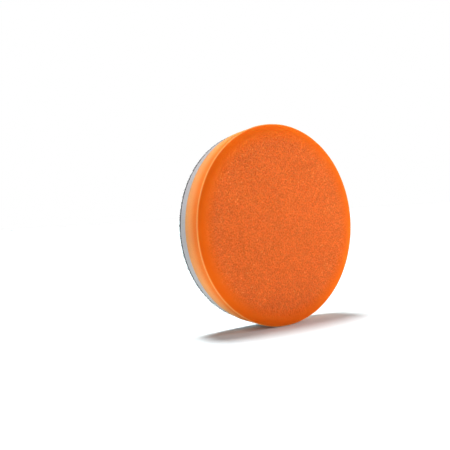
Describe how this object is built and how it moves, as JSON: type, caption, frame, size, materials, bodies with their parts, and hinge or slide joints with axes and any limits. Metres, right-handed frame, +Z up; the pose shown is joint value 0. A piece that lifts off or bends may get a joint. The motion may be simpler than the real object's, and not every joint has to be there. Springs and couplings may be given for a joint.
{
  "type": "polishing pad",
  "caption": "Round laminated foam polishing pad: flat open-cell working face with a rounded shoulder, damping interlayer, hook-and-loop back and a centring hole.",
  "frame": {"origin": "centre of the loop face, at the mouth of the centring hole", "axes": "+Y along the spin axis, out of the loop face towards the machine; the working face looks along -Y; +Z up, with the pad standing on its rim"},
  "size_m": [0.14, 0.0273, 0.14],
  "materials": {
    "working_foam": "matt open-cell foam",
    "interlayer_foam": "matt fine-cell foam",
    "glue_film": "dull hot-melt film",
    "loop_cloth": "knitted nylon",
    "loop_nap": "brushed nylon loops"
  },
  "bodies": {
    "root": {"face_foam": "working_foam", "face_glue_film": "glue_film", "interlayer_foam": "interlayer_foam", "backing_glue_film": "glue_film", "loop_cloth": "loop_cloth", "loop_nap": "loop_nap"}
  },
  "joints": []
}
